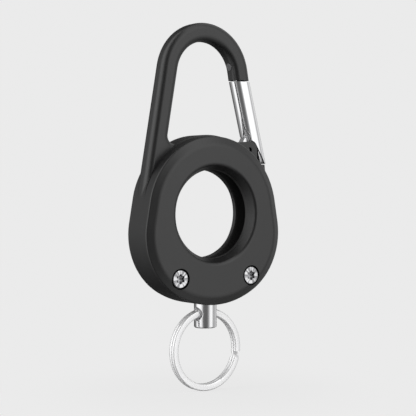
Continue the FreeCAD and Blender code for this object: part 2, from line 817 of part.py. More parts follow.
def build_gate_pin():
    """Straight steel pin through both ears, sunk below their faces, with rounded ends."""
    body = new_body("gate_pin")
    sketch = new_sketch(body, "gate_pin_round", "XZ_Plane", "parting - pin_recess")
    add_circle(sketch, "pivot_right", "pivot_height", "pin_radius")
    core = pad(body, sketch, "hook_depth - 2 * pin_recess", reverse=True)

    def end_rim(edge):
        return len(edge.Vertexes) == 1

    round_edges(body, core, "gate_pin_ends", end_rim, "pin_edge")
    return body


def build_nose_pin():
    """Grey round pin let into the inner side of the hook's nose."""
    body = new_body("nose_pin")
    start = "(hook_radius - hook_width - nose_pin_proud)"
    sketch = new_sketch(body, "nose_pin_round", "XY_Plane", start)
    add_circle(sketch, "0", "0", "nose_pin_radius")
    core = pad(body, sketch, "nose_pin_length")
    face = number(start)

    def inner_end(edge):
        return abs(middle_of(edge).z - face) < 1e-6

    round_edges(body, core, "nose_pin_rim", inner_end, "nose_pin_edge")
    turn(body, FreeCAD.Vector(0, 1, 0), "90 - nose_pin_angle")
    place(body, "0", "hook_middle", "hook_height")
    return body


# Fasteners

def pair_of(name, build_one):
    """Two of the same fastener, left and right, held as one node."""
    both = []
    for side, sign in (("left", "-"), ("right", "")):
        one = build_one(f"{name}_{side}")
        one.Placement.Rotation = FreeCAD.Rotation(FreeCAD.Vector(1, 0, 0), 90)
        both.append((one, sign))
    pair = doc.addObject("Part::Compound", name)
    pair.Label = name
    pair.Links = [one for one, _ in both]
    return pair, both


def build_screw(name):
    """Flat-topped screw with a six-lobe socket, lying along its own Z with the head's top at zero."""
    body = new_body(name)
    sketch = new_sketch(body, name + "_side", "XZ_Plane")
    tip = "(head_height + screw_length)"
    add_outline(sketch, [
        ("0", f"-{tip}"),
        ("screw_radius - screw_point", f"-{tip}"),
        ("screw_radius", f"-({tip} - screw_point)"),
        ("screw_radius", "-head_height"),
        ("head_radius", "-head_height"),
        ("head_radius", "-head_edge", "head_edge", 1),
        ("head_radius - head_edge", "0"),
        ("0", "0"),
    ])
    spin(body, sketch, "Revolution")
    core = new_sketch(body, name + "_socket", "XY_Plane")
    add_circle(core, "0", "0", "socket_core")
    pocket(body, core, "socket_depth")
    point = new_sketch(body, name + "_socket_point", "XZ_Plane")
    add_outline(point, [
        ("0", "-socket_depth"),
        ("0", "-(socket_depth + socket_point)"),
        ("socket_core", "-socket_depth"),
    ])
    spin(body, point, "Groove")
    lobe = new_sketch(body, name + "_lobe", "XY_Plane")
    add_circle(lobe, "0", "socket_core", "socket_lobe")
    cut = pocket(body, lobe, "socket_depth")
    lobes = body.newObject("PartDesign::PolarPattern", name + "_lobes")
    lobes.Originals = [cut]
    lobes.Axis = (lobe, ["N_Axis"])
    lobes.Angle = 360
    lobes.Occurrences = 6
    body.Tip = lobes
    doc.recompute()
    return body


def build_insert(name):
    """Brass insert with three rings round it, lying along its own Z with its mouth at zero."""
    body = new_body(name)
    sketch = new_sketch(body, name + "_side", "XZ_Plane")
    bore = "(screw_radius + press_clear)"
    waist = "(insert_radius - insert_groove)"
    corners = [(bore, "-insert_length")]
    for step in (5, 3, 1):
        low = f"-(insert_length * {step} / 5)"
        high = f"-(insert_length * {step - 1} / 5)"
        next_low = f"-(insert_length * {step - 2} / 5)"
        corners += [("insert_radius", low), ("insert_radius", high)]
        if step > 1:
            corners += [(waist, high), (waist, next_low)]
    corners.append((bore, "0"))
    add_outline(sketch, corners)
    spin(body, sketch, "Revolution")
    return body


def build_screws():
    pair, both = pair_of("cover_screws", build_screw)
    for one, sign in both:
        place(one, f"{sign}screw_right", "head_recess - half_thickness", "-screw_drop")
    return pair


def build_inserts():
    pair, both = pair_of("screw_inserts", build_insert)
    for one, sign in both:
        place(one, f"{sign}screw_right", "-parting", "-screw_drop")
    return pair


# Swivel and key ring

def build_swivel_stem():
    """Turned steel stem: a flange caught in the case, a plain neck and a cross hole for the ring."""
    body = new_body("swivel_stem")
    sketch = new_sketch(body, "stem_side", "XZ_Plane")
    add_outline(sketch, [
        ("0", "-stem_drop"),
        ("stem_radius - stem_round", "-stem_drop", "stem_round", 1),
        ("stem_radius", "-(stem_drop - stem_round)"),
        ("stem_radius", "-flange_under"),
        ("flange_radius", "-flange_under"),
        ("flange_radius", "-flange_drop"),
        ("0", "-flange_drop"),
    ])
    spin(body, sketch, "Revolution")
    eye = new_sketch(body, "ring_eye", "YZ_Plane")
    add_circle(eye, "0", "-eye_drop", "eye_radius")
    hole = pocket(body, eye, "4 * stem_radius", both_ways=True)
    reach = number("eye_radius")
    drop = -number("eye_drop")

    def eye_rim(edge):
        spots = [edge.valueAt(value) for value in edge.ParameterRange]
        spots.append(middle_of(edge))
        return all(abs(math.hypot(spot.y, spot.z - drop) - reach) < 1e-4 for spot in spots)

    round_edges(body, hole, "eye_rim", eye_rim, "eye_round")
    return body


def wire_section(angle, shift):
    """Rounded section of the ring's wire at an angle round the ring, moved along the ring's axis."""
    radial = number("ring_wire / 2 - ring_round")
    axial = number("ring_coil / 2 - ring_round")
    rounding = number("ring_round")
    middle = number("ring_radius - ring_wire / 2")
    spans = []
    signs = ((1, 1), (-1, 1), (-1, -1), (1, -1))
    for quarter, (across, along) in enumerate(signs):
        centre = FreeCAD.Vector(middle + across * radial, shift + along * axial, 0)
        circle = Part.Circle(centre, FreeCAD.Vector(0, 0, 1), rounding)
        spans.append(Part.ArcOfCircle(circle, quarter * math.pi / 2, (quarter + 1) * math.pi / 2))
    outline = []
    for span, follower in zip(spans, spans[1:] + spans[:1]):
        outline.append(span.toShape())
        outline.append(Part.LineSegment(span.EndPoint, follower.StartPoint).toShape())
    section = Part.Wire(outline)
    section.rotate(FreeCAD.Vector(), FreeCAD.Vector(0, -1, 0), angle)
    return section


def ring_shift(share):
    """How far along the ring's axis the wire lies, at a share of the way through its step."""
    half = number("ring_coil + ring_slit") / 2
    eased = share * share * (3 - 2 * share)
    return half * (2 * eased - 1)


def least_self_gap():
    """Least gap between the ring's two turns, from points along the wire."""
    step = number("ring_step_angle")
    lap = number("ring_lap")
    middle = number("ring_radius - ring_wire / 2")
    coil = number("ring_coil")
    points = []
    for angle in range(math.ceil(step - lap), math.floor(720 + lap) + 1):
        share = min(max((angle - 360) / step, 0), 1)
        points.append((angle, ring_shift(share)))
    least = middle
    for index, (angle, shift) in enumerate(points):
        for other, other_shift in points[index + 180:]:
            around = abs(other - angle - 360)
            between = max(abs(other_shift - shift) - coil, 0)
            least = min(least, math.hypot(between, math.radians(around) * middle))
    return least


def build_split_ring():
    """Split ring: one wire, two turns side by side, with one short step from the front turn to the rear
    turn. The free ends run on a little beside the step."""
    axis = FreeCAD.Vector(0, -1, 0)
    start = number("ring_step_place")
    step = number("ring_step_angle")
    turn_angle = 360 - step + number("ring_lap")
    front = Part.Face(wire_section(start + 360 - turn_angle, ring_shift(0)))
    front_turn = front.revolve(FreeCAD.Vector(), axis, turn_angle)
    rear = Part.Face(wire_section(start + step, ring_shift(1)))
    rear_turn = rear.revolve(FreeCAD.Vector(), axis, turn_angle)
    stops = [index / 8 for index in range(9)]
    sections = [wire_section(start + step * share, ring_shift(share)) for share in stops]
    slope = Part.makeLoft(sections, True, False)
    ring = doc.addObject("Part::Feature", "split_ring")
    ring.Label = "split_ring"
    ring.Shape = front_turn.fuse([slope, rear_turn]).removeSplitter()
    place(ring, "0", "0", "-(eye_drop - ring_hang + ring_radius)")
    return ring


pieces = [
    build_rear_shell(),
    build_front_cover(),
    build_inserts(),
    build_screws(),
    build_gate_pin(),
    build_nose_pin(),
    build_gate(),
    build_gate_spring(),
    build_swivel_stem(),
    build_split_ring(),
]
doc.recompute()

for item in doc.Objects:
    if "Invalid" in item.State or "Error" in item.State:
        raise RuntimeError(f"{item.Name} did not build: {item.State}")

os.makedirs("parts", exist_ok=True)
for piece in pieces:
    shape = piece.Shape
    if shape.isNull() or not shape.isValid():
        raise RuntimeError(f"{piece.Label} is not a sound solid")
    print(piece.Label, len(shape.Solids), round(shape.Volume, 2), shape.BoundBox)
    shape.exportStep(f"parts/{piece.Label}.step")
print("least gap between the ring's turns", round(least_self_gap(), 3))
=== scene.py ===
import math

import bpy
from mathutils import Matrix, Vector


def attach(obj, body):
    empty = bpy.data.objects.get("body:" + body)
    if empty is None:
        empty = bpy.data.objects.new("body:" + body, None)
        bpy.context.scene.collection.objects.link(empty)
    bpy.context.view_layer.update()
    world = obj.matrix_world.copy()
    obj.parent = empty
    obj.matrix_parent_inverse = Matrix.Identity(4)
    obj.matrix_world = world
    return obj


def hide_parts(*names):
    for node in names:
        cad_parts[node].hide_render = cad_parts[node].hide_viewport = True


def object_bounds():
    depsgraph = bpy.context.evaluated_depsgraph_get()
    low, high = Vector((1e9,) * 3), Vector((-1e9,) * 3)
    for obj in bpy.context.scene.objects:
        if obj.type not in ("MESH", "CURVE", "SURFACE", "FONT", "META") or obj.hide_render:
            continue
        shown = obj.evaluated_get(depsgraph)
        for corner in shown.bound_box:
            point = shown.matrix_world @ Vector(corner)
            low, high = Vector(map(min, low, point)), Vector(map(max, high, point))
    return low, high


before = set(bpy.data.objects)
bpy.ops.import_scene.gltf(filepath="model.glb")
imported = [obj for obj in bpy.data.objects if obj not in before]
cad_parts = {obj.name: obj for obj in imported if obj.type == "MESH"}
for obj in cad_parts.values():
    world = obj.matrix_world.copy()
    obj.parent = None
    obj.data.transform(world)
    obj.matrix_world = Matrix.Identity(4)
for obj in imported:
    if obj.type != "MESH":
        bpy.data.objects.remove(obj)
cad_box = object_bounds()

# Rear half of the case, moulded in satin black plastic in one piece with the carabiner hook, the hinge
# fork and the gate's shoulder. The tool's fine spark texture shows outside, and the tag's seat is matt,
# with painted shade darkening its colour almost to black.
case_black = (0.007, 0.007, 0.00714, 1)
spark_black = (0.00945, 0.00945, 0.00966, 1)
spark_fineness = 5200
spark_height = 0.00002
spark_strength = 0.12
handling_fineness = 90
satin_roughness = (0.3, 0.38)
satin_specular = 0.69
seat_reach = 0.02
seat_half_depth = 0.0032
seat_edge = 0.04
# Painted shade: the seat's colour, near black where the hollow lies in shadow.
painted_seat_shade = 0.0005
seat_roughness = 0.75


def grey(level):
    """A neutral colour, from black at 0 to white at 1."""
    return (level, level, level, 1)


def add_node(tree, name, kind, inputs=None, **settings):
    """Add a named node with its settings and the plain values of its inputs."""
    node = tree.nodes.new(kind)
    node.name = name
    for setting, value in settings.items():
        setattr(node, setting, value)
    for socket, value in (inputs or {}).items():
        node.inputs[socket].default_value = value
    return node


def join(tree, ties):
    """Link named nodes. A tie is the giving node, its output, the taking node and its input."""
    for giver, output, taker, socket in ties:
        tree.links.new(tree.nodes[giver].outputs[output], tree.nodes[taker].inputs[socket])


def bare_material(name):
    """A new material and its empty node tree."""
    material = bpy.data.materials.new(name)
    material.use_nodes = True
    material.node_tree.nodes.clear()
    return material, material.node_tree


def finish_node(name, material):
    """Give a solid of the frame its finish."""
    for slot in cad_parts[name].material_slots:
        slot.material = material


def satin_moulding(name, turn):
    """Satin black moulding: fine spark bump, gloss varying with handling, matt seat in painted shade."""
    material, tree = bare_material(name)
    seat_scale = (1 / seat_reach, 1 / seat_half_depth, 1 / seat_reach)
    add_node(tree, "place", "ShaderNodeTexCoord")
    add_node(tree, "turned", "ShaderNodeMapping", {"Rotation": (0, turn, 0)})
    add_node(tree, "spark", "ShaderNodeTexNoise", {"Scale": spark_fineness, "Detail": 3})
    add_node(tree, "handling", "ShaderNodeTexNoise", {"Scale": handling_fineness, "Detail": 4})
    add_node(tree, "gloss", "ShaderNodeMapRange", {
        "To Min": satin_roughness[0],
        "To Max": satin_roughness[1],
    })
    add_node(tree, "tone", "ShaderNodeMix", {"A": case_black, "B": spark_black}, data_type="RGBA")
    add_node(tree, "hollow", "ShaderNodeMapping", {"Scale": seat_scale})
    add_node(tree, "middle", "ShaderNodeTexGradient", gradient_type="SPHERICAL")
    add_node(tree, "inside", "ShaderNodeMapRange", {"From Max": seat_edge})
    # Painted shade: the colour falls to near black inside the tag's seat.
    add_node(tree, "painted_shade", "ShaderNodeMix", {"B": grey(painted_seat_shade)}, data_type="RGBA")
    add_node(tree, "matt", "ShaderNodeMix", {"B": seat_roughness})
    add_node(tree, "grain", "ShaderNodeBump", {"Strength": spark_strength, "Distance": spark_height})
    add_node(tree, "plastic", "ShaderNodeBsdfPrincipled", {"Specular IOR Level": satin_specular})
    add_node(tree, "surface", "ShaderNodeOutputMaterial")
    join(tree, (
        ("place", "Object", "turned", "Vector"),
        ("turned", "Vector", "spark", "Vector"),
        ("turned", "Vector", "handling", "Vector"),
        ("handling", "Fac", "gloss", "Value"),
        ("spark", "Fac", "tone", "Factor"),
        ("spark", "Fac", "grain", "Height"),
        ("place", "Object", "hollow", "Vector"),
        ("hollow", "Vector", "middle", "Vector"),
        ("middle", "Fac", "inside", "Value"),
        ("inside", "Result", "painted_shade", "Factor"),
        ("tone", "Result", "painted_shade", "A"),
        ("inside", "Result", "matt", "Factor"),
        ("gloss", "Result", "matt", "A"),
        ("painted_shade", "Result", "plastic", "Base Color"),
        ("matt", "Result", "plastic", "Roughness"),
        ("grain", "Normal", "plastic", "Normal"),
        ("plastic", "BSDF", "surface", "Surface"),
    ))
    return material


finish_node("rear_shell", satin_moulding("rear_moulding", turn=0))

# Two threaded brass inserts, turned from bar with a fine knurl and pressed into the bosses of the rear
# half. They hold the cover's screws and are hidden once the case is shut.
wear_fineness = 160
wear_spread = (0.3, 0.7)
wear_darkening = 0.93
mark_depth = 0.00001


def plated_metal(name, colour, marks, gloss, bite, metallic=1):
    """Metal whose fine marks run one way and change its tone, gloss and surface a little."""
    material, tree = bare_material(name)
    worn = [wear_darkening * part for part in colour]
    add_node(tree, "place", "ShaderNodeTexCoord")
    add_node(tree, "drawn", "ShaderNodeMapping", {"Scale": marks})
    add_node(tree, "marks", "ShaderNodeTexNoise", {"Scale": 1, "Detail": 2})
    add_node(tree, "wear", "ShaderNodeTexNoise", {"Scale": wear_fineness, "Detail": 4})
    add_node(tree, "tone", "ShaderNodeMix", {"A": (*colour, 1), "B": (*worn, 1)}, data_type="RGBA")
    add_node(tree, "gloss", "ShaderNodeMapRange", {
        "From Min": wear_spread[0],
        "From Max": wear_spread[1],
        "To Min": gloss[0],
        "To Max": gloss[1],
    })
    add_node(tree, "bite", "ShaderNodeBump", {"Strength": bite, "Distance": mark_depth})
    add_node(tree, "metal", "ShaderNodeBsdfPrincipled", {"Metallic": metallic})
    add_node(tree, "surface", "ShaderNodeOutputMaterial")
    join(tree, (
        ("place", "Object", "drawn", "Vector"),
        ("place", "Object", "wear", "Vector"),
        ("drawn", "Vector", "marks", "Vector"),
        ("wear", "Fac", "tone", "Factor"),
        ("wear", "Fac", "gloss", "Value"),
        ("marks", "Fac", "bite", "Height"),
        ("tone", "Result", "metal", "Base Color"),
        ("gloss", "Result", "metal", "Roughness"),
        ("bite", "Normal", "metal", "Normal"),
        ("metal", "BSDF", "surface", "Surface"),
    ))
    return material


finish_node("screw_inserts", plated_metal(
    "insert_brass", colour=(0.72, 0.5, 0.2), marks=(900, 9000, 900), gloss=(0.25, 0.4), bite=0.2))

# Dull grey steel pin, cut from drawn wire and pressed into the inner side of the hook's nose. Only its
# flat, slightly rough end shows.
finish_node("nose_pin", plated_metal(
    "nose_steel", colour=(0.22, 0.22, 0.225), marks=(3000, 3000, 3000), gloss=(0.4, 0.55), bite=0.2))

# Gate, rolled from thin steel sheet round a mandrel so that its edges meet in a seam, then bright
# plated. It hangs on its pin between the ears of the fork and shuts against the nose.
gate_lean = math.radians(13.94)
gate_pivot = Vector((0.0155013, 0.001225, 0.0191016))
gate_across = Vector((math.cos(gate_lean), 0, math.sin(gate_lean)))
gate_along = Vector((-math.sin(gate_lean), 0, math.cos(gate_lean)))
gate_half_width = 0.003
gate_round = 0.0023
gate_flat_across = 0.0007
gate_flat_deep = 0.000275
gate_wall_middle = 0.002
unpolished_from = 0.002
unpolished_to = 0.021
bare_metallic = 0.2
bare_roughness = 0.6


def dull_inside(material, middle, turn, flat, reach):
    """Leave the inside of a tube or bore dull, where plating and polish do not reach."""
    tree = material.node_tree
    add_node(tree, "inward", "ShaderNodeMapping", {
        "Location": middle,
        "Rotation": turn,
    }, vector_type="TEXTURE")
    add_node(tree, "either_way", "ShaderNodeVectorMath", operation="ABSOLUTE")
    add_node(tree, "past_flat", "ShaderNodeVectorMath", {1: flat}, operation="SUBTRACT")
    add_node(tree, "rounded", "ShaderNodeVectorMath", {1: (0, 0, 0)}, operation="MAXIMUM")
    add_node(tree, "away", "ShaderNodeVectorMath", operation="LENGTH")
    add_node(tree, "inside", "ShaderNodeMath", {1: reach}, operation="LESS_THAN")
    add_node(tree, "bare", "ShaderNodeMapRange", {"To Min": 1, "To Max": bare_metallic})
    add_node(tree, "matt", "ShaderNodeMix", {"B": bare_roughness})
    join(tree, (
        ("place", "Object", "inward", "Vector"),
        ("inward", "Vector", "either_way", 0),
        ("either_way", "Vector", "past_flat", 0),
        ("past_flat", "Vector", "rounded", 0),
        ("rounded", "Vector", "away", 0),
        ("away", "Value", "inside", 0),
        ("inside", "Value", "bare", "Value"),
        ("bare", "Result", "metal", "Metallic"),
        ("inside", "Value", "matt", "Factor"),
        ("gloss", "Result", "matt", "A"),
        ("matt", "Result", "metal", "Roughness"),
    ))


gate_plating = plated_metal(
    "gate_plating", colour=(0.9, 0.9, 0.91), marks=(2500, 2500, 120), gloss=(0.06, 0.11), bite=0.01)
dull_inside(
    gate_plating,
    middle=gate_pivot + gate_half_width * gate_across + (unpolished_from + unpolished_to) / 2 * gate_along,
    turn=(0, -gate_lean, 0),
    flat=(gate_flat_across, gate_flat_deep, (unpolished_to - unpolished_from) / 2),
    reach=gate_wall_middle)
finish_node("gate", gate_plating)

# Edges of the gate's sheet where they meet in the seam. The roll turns them over slightly, so each is a
# narrow bright bead that runs down the tube and spreads at the mouth over the fork.
bead_radius = 0.00013
bead_lift = 0.4 * bead_radius
seam_middle = -0.00145
seam_half_gap = 0.00026
seam_top = 0.0212
mouth_top = 0.0067
mouth_foot = 0.0044
mouth_half_gap = 0.00088


def plated_shape(name, inputs):
    """A Geometry Nodes tree that ends in a plated, real mesh, and the identifiers of its named inputs."""
    tree = bpy.data.node_groups.new(name, "GeometryNodeTree")
    sockets = {}
    tree.interface.new_socket("Geometry", in_out="INPUT", socket_type="NodeSocketGeometry")
    for label, kind in inputs.items():
        sockets[label] = tree.interface.new_socket(label, in_out="INPUT", socket_type=kind).identifier
    tree.interface.new_socket("Geometry", in_out="OUTPUT", socket_type="NodeSocketGeometry")
    add_node(tree, "given", "NodeGroupInput")
    add_node(tree, "real", "GeometryNodeRealizeInstances")
    add_node(tree, "plated", "GeometryNodeSetMaterial")
    add_node(tree, "result", "NodeGroupOutput")
    join(tree, (
        ("real", "Geometry", "plated", "Geometry"),
        ("given", "Plating", "plated", "Material"),
        ("plated", "Geometry", "result", "Geometry"),
    ))
    return tree, sockets


def shape_piece(name, points, edges, faces, tree, settings):
    """Run a tree on plain points, edges and faces, and keep what it makes as a plain mesh."""
    plain = bpy.data.meshes.new(name)
    plain.from_pydata(points, edges, faces)
    piece = bpy.data.objects.new(name, plain)
    bpy.context.scene.collection.objects.link(piece)
    maker = piece.modifiers.new("maker", "NODES")
    maker.node_group = tree
    for socket, value in settings.items():
        maker[socket] = value
    shaped = piece.evaluated_get(bpy.context.evaluated_depsgraph_get())
    made_mesh = bpy.data.meshes.new_from_object(shaped)
    piece.modifiers.clear()
    piece.data = made_mesh
    return piece


seam_tree, seam_inputs = plated_shape("rolled_edges", {
    "Bead radius": "NodeSocketFloat",
    "Plating": "NodeSocketMaterial",
})
add_node(seam_tree, "path", "GeometryNodeMeshToCurve")
add_node(seam_tree, "bead", "GeometryNodeCurvePrimitiveCircle", {"Resolution": 12})
add_node(seam_tree, "swept", "GeometryNodeCurveToMesh", {"Fill Caps": True})
add_node(seam_tree, "smooth", "GeometryNodeSetShadeSmooth")
join(seam_tree, (
    ("given", "Geometry", "path", "Mesh"),
    ("given", "Bead radius", "bead", "Radius"),
    ("path", "Curve", "swept", "Curve"),
    ("bead", "Curve", "swept", "Profile Curve"),
    ("swept", "Mesh", "smooth", "Geometry"),
    ("smooth", "Geometry", "real", "Geometry"),
))
edge_run = ((mouth_foot, mouth_half_gap), (mouth_top, seam_half_gap), (seam_top, seam_half_gap))
edge_points = []
for side in (-1, 1):
    for height, half_gap in edge_run:
        offset = seam_middle + side * half_gap
        bulge = gate_round - math.sqrt(gate_round ** 2 - (offset + gate_flat_deep) ** 2)
        outward = (bulge + bead_lift) * gate_across
        edge_points.append(gate_pivot + outward + Vector((0, offset, 0)) + height * gate_along)
edge_lines = [(0, 1), (1, 2), (3, 4), (4, 5)]
gate_seam = shape_piece("gate_seam", edge_points, edge_lines, [], seam_tree, {
    seam_inputs["Bead radius"]: bead_radius,
    seam_inputs["Plating"]: gate_plating,
})
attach(gate_seam, "gate")

# Strip spring of plain spring steel, folded and laid in the hollow gate. One leg bears on the gate's
# outer wall and the other on the fork, which keeps the gate shut.
finish_node("gate_spring", plated_metal(
    "spring_steel", colour=(0.45, 0.45, 0.47), marks=(2500, 2500, 300), gloss=(0.3, 0.4), bite=0.1))

# Gate pin, ground from steel rod and blackened to match the case. It is pressed through both ears and
# sits a little below their faces.
finish_node("gate_pin", plated_metal(
    "pin_steel", colour=(0.1, 0.1, 0.102), marks=(4000, 900, 4000), gloss=(0.3, 0.42), bite=0.08))

# Swivel stem, turned from bright steel bar and cross-drilled for the ring. Its flange is held between
# the two halves of the case, so it turns freely but cannot come out.
cross_hole = (0, 0, -0.0294)
cross_hole_reach = 0.00196
past_both_ends = 1
stem_steel = plated_metal(
    "stem_steel", colour=(0.84, 0.84, 0.85), marks=(300, 300, 9000), gloss=(0.15, 0.2), bite=0.02)
dull_inside(
    stem_steel,
    middle=cross_hole,
    turn=(0, 0, 0),
    flat=(past_both_ends, 0, 0),
    reach=cross_hole_reach)
finish_node("swivel_stem", stem_steel)

# Split ring, coiled in two close turns from flattened spring wire with the usual step, then tumbled and
# nickel plated to a pale, even finish. It is threaded through the stem's cross hole.
ring_middle = Vector((0, 0, -0.0401))
ring_line = 0.0112
wire_wide = 0.002
wire_thick = 0.00118
wire_rounding = 0.0004
turn_apart = 0.0006
step_from = -18
step_to = -6
step_lap = 1.2
wire_steps = 480


def shade_smooth(piece, crease):
    """Shade a piece smooth, and keep edges sharp that bend by more than the crease, in degrees."""
    piece.data.shade_smooth()
    piece.data.set_sharp_from_angle(angle=math.radians(crease))


ring_plating = plated_metal(
    "ring_plating", colour=(0.96, 0.96, 0.965), marks=(900, 900, 900), gloss=(0.12, 0.17), bite=0.01,
    metallic=0.5)
ring_tree, ring_inputs = plated_shape("coiled_wire", {
    "Wire width": "NodeSocketFloat",
    "Wire thickness": "NodeSocketFloat",
    "Wire rounding": "NodeSocketFloat",
    "Plating": "NodeSocketMaterial",
})
add_node(ring_tree, "path", "GeometryNodeMeshToCurve")
add_node(ring_tree, "square", "GeometryNodeSetCurveNormal", {"Normal": (0, 1, 0)}, mode="FREE")
add_node(ring_tree, "flat", "GeometryNodeCurvePrimitiveQuadrilateral")
add_node(ring_tree, "rolled", "GeometryNodeFilletCurve", {"Count": 6}, mode="POLY")
add_node(ring_tree, "swept", "GeometryNodeCurveToMesh", {"Fill Caps": True})
join(ring_tree, (
    ("given", "Geometry", "path", "Mesh"),
    ("path", "Curve", "square", "Curve"),
    ("given", "Wire thickness", "flat", "Width"),
    ("given", "Wire width", "flat", "Height"),
    ("flat", "Curve", "rolled", "Curve"),
    ("given", "Wire rounding", "rolled", "Radius"),
    ("square", "Curve", "swept", "Curve"),
    ("rolled", "Curve", "swept", "Profile Curve"),
    ("swept", "Mesh", "real", "Geometry"),
))
wire_from = step_to - step_lap
wire_to = step_from + step_lap + 720
wire_points = []
for index in range(wire_steps + 1):
    turned = wire_from + (wire_to - wire_from) * index / wire_steps
    share = min(1, max(0, (turned - step_from - 360) / (step_to - step_from)))
    ease = share * share * (3 - 2 * share)
    around = math.radians(turned)
    wire_points.append(ring_middle + Vector((
        ring_line * math.cos(around), turn_apart * (2 * ease - 1), ring_line * math.sin(around))))
wire_lines = [(index, index + 1) for index in range(wire_steps)]
key_ring = shape_piece("key_ring", wire_points, wire_lines, [], ring_tree, {
    ring_inputs["Wire width"]: wire_wide,
    ring_inputs["Wire thickness"]: wire_thick,
    ring_inputs["Wire rounding"]: wire_rounding,
    ring_inputs["Plating"]: ring_plating,
})
shade_smooth(key_ring, crease=40)
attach(key_ring, "ring")
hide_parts("split_ring")

# Front half of the case, the same satin black moulding from its own tool. Its tongue, pegs and the two
# screws hold it to the rear half, with the tag's seat between them.
finish_node("front_cover", satin_moulding("front_moulding", turn=0.6))

# Two flat-topped machine screws with six-lobe sockets, in counterbores of the cover. They are bright
# plated steel whose heads keep the fine rays left by cold heading in their gloss. The rays' bright and
# grey sectors in the colour are painted reflection, and the greyer socket is painted shade.
screw_aside = 0.01265
screw_down = 0.0184
screw_steps = 144
head_top = -0.0058
head_radius = 0.00258
head_height = 0.0021
head_flat = 0.0019
head_edge = 0.00025
head_edge_rows = 6
head_under_edge = 0.0001
socket_core = 0.00105
socket_lobe = 0.00038
socket_depth = 0.0011
socket_rim = 0.00007
socket_foot = 0.00004
socket_foot_share = 0.97
dimple_radius = 0.0005
dimple_fall = 0.00024
dimple_depth = 0.00045
shank_radius = 0.00125
shank_end = 0.00825
thread_pitch = 0.00045
thread_depth = 0.00027
thread_rows = 78
plain_neck = 0.0004
thread_run_in = 0.0006
point_length = 0.0005
point_taper = 0.00035
head_bright = (0.78, 0.78, 0.79)
# Painted reflection: the rays swing the heads' colour between bright and this grey.
painted_reflection_grey = (0.3, 0.3, 0.31)
# Painted shade: down in the socket the colour turns to this grey.
socket_shade_grey = (0.39, 0.39, 0.403)
ray_fineness = 2.6
ray_spread = (0.42, 0.58)
ray_roughness = (0.14, 0.3)
socket_shade_depth = 0.0005


def rayed_plating(name):
    """Screw plating: rays from each screw's axis in gloss and painted reflection; painted shade in sockets.
    """
    material, tree = bare_material(name)
    add_node(tree, "place", "ShaderNodeTexCoord")
    add_node(tree, "apart", "ShaderNodeSeparateXYZ")
    add_node(tree, "either", "ShaderNodeMath", operation="ABSOLUTE")
    add_node(tree, "across", "ShaderNodeMath", {1: screw_aside}, operation="SUBTRACT")
    add_node(tree, "upward", "ShaderNodeMath", {1: screw_down}, operation="ADD")
    add_node(tree, "joined", "ShaderNodeCombineXYZ")
    add_node(tree, "outward", "ShaderNodeVectorMath", operation="NORMALIZE")
    add_node(tree, "rays", "ShaderNodeTexNoise", {"Scale": ray_fineness, "Detail": 1})
    add_node(tree, "spread", "ShaderNodeMapRange", {"From Min": ray_spread[0], "From Max": ray_spread[1]})
    # Painted reflection: the colour runs between bright and grey sectors along the rays.
    add_node(tree, "tone", "ShaderNodeMix", {"A": (*head_bright, 1), "B": (*painted_reflection_grey, 1)}, data_type="RGBA")
    add_node(tree, "sunk", "ShaderNodeMapRange", {
        "From Min": head_top,
        "From Max": head_top + socket_shade_depth,
    })
    # Painted shade: the colour greys with depth down in the socket.
    add_node(tree, "painted_socket_shade", "ShaderNodeMix", {"B": (*socket_shade_grey, 1)}, data_type="RGBA")
    add_node(tree, "gloss", "ShaderNodeMapRange", {"To Min": ray_roughness[0], "To Max": ray_roughness[1]})
    add_node(tree, "metal", "ShaderNodeBsdfPrincipled", {"Metallic": 1})
    add_node(tree, "surface", "ShaderNodeOutputMaterial")
    join(tree, (
        ("place", "Object", "apart", "Vector"),
        ("apart", "X", "either", 0),
        ("either", "Value", "across", 0),
        ("apart", "Z", "upward", 0),
        ("across", "Value", "joined", "X"),
        ("upward", "Value", "joined", "Y"),
        ("joined", "Vector", "outward", 0),
        ("outward", "Vector", "rays", "Vector"),
        ("rays", "Fac", "spread", "Value"),
        ("spread", "Result", "tone", "Factor"),
        ("spread", "Result", "gloss", "Value"),
        ("apart", "Y", "sunk", "Value"),
        ("sunk", "Result", "painted_socket_shade", "Factor"),
        ("tone", "Result", "painted_socket_shade", "A"),
        ("painted_socket_shade", "Result", "metal", "Base Color"),
        ("gloss", "Result", "metal", "Roughness"),
        ("metal", "BSDF", "surface", "Surface"),
    ))
    return material


def socket_reach(angle):
    """How far the six-lobe socket reaches from the screw's axis at an angle."""
    reach = socket_core
    for lobe in range(6):
        turn = angle - math.radians(30 + 60 * lobe)
        short = socket_lobe ** 2 - (socket_core * math.sin(turn)) ** 2
        if short > 0 and math.cos(turn) > 0:
            reach = max(reach, socket_core * math.cos(turn) + math.sqrt(short))
    return reach


def thread_radius(angle, depth):
    """Radius of the threaded shank at an angle and a depth below the head's top."""
    wind = (depth / thread_pitch + angle / (2 * math.pi)) % 1
    ridge = abs(2 * wind - 1)
    run_in = min(1, max(0, (depth - head_height - plain_neck) / thread_run_in))
    point = min(1, max(0, (shank_end - depth) / point_length))
    return shank_radius - thread_depth * run_in * (1 - ridge) - point_taper * (1 - point)


def screw_profile(angle):
    """Radius and depth of the screw's skin at an angle, from the socket's floor over the head to the tip."""
    reach = socket_reach(angle)
    profile = [
        (dimple_radius, socket_depth + dimple_fall),
        (reach * socket_foot_share, socket_depth),
        (reach, socket_depth - socket_foot),
        (reach, socket_rim),
        (reach + socket_rim, 0),
        (head_flat, 0),
    ]
    for row in range(head_edge_rows + 1):
        bend = math.radians(90 * row / head_edge_rows)
        profile.append((head_radius - head_edge * (1 - math.sin(bend)), head_edge * (1 - math.cos(bend))))
    profile.append((head_radius, head_height - head_under_edge))
    profile.append((head_radius - head_under_edge, head_height))
    for row in range(thread_rows + 1):
        depth = head_height + (shank_end - head_height) * row / thread_rows
        profile.append((thread_radius(angle, depth), depth))
    return profile


